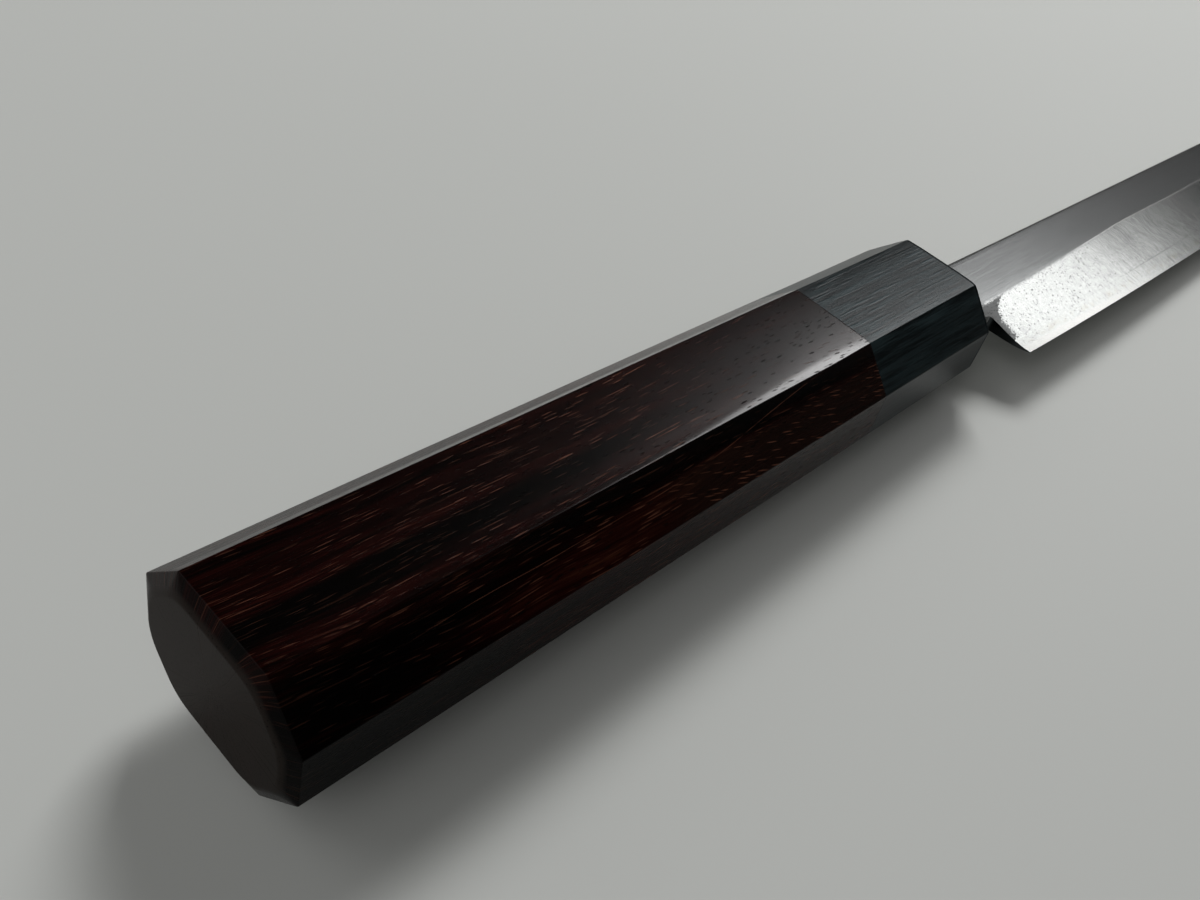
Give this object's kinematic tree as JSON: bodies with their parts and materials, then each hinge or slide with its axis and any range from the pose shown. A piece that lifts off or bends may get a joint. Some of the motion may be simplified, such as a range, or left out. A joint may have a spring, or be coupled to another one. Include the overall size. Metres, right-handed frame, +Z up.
{
  "type": "japanese kitchen knife",
  "caption": "Slender single-bevel Japanese slicing knife with a laminated blade, black horn ferrule and tapered octagonal rosewood handle, lying on its side.",
  "frame": {"origin": "on the table, under the middle of the knife's box as it lies on its left side", "axes": "+X along the table from the butt towards the tip, +Y towards the spine, +Z up from the table; the knife rests on the ferrule's lower front edge and on its tip, so its own axis dips about 2 degrees towards the tip"},
  "size_m": [0.3554, 0.033, 0.0252],
  "materials": {
    "blade_iron": "satin flat with a stone-ground bevel",
    "blade_edge_steel": "fine ground",
    "ferrule_horn": "satin black horn",
    "grip_rosewood": "oiled and polished rosewood",
    "dowel_wood": "plain hardwood",
    "filler_resin": "dark cured resin"
  },
  "bodies": {
    "root": {"blade_iron": "blade_iron", "blade_edge_steel": "blade_edge_steel", "ferrule": "ferrule_horn", "grip": "grip_rosewood", "dowel": "dowel_wood", "tang_filler": "filler_resin"}
  },
  "joints": []
}
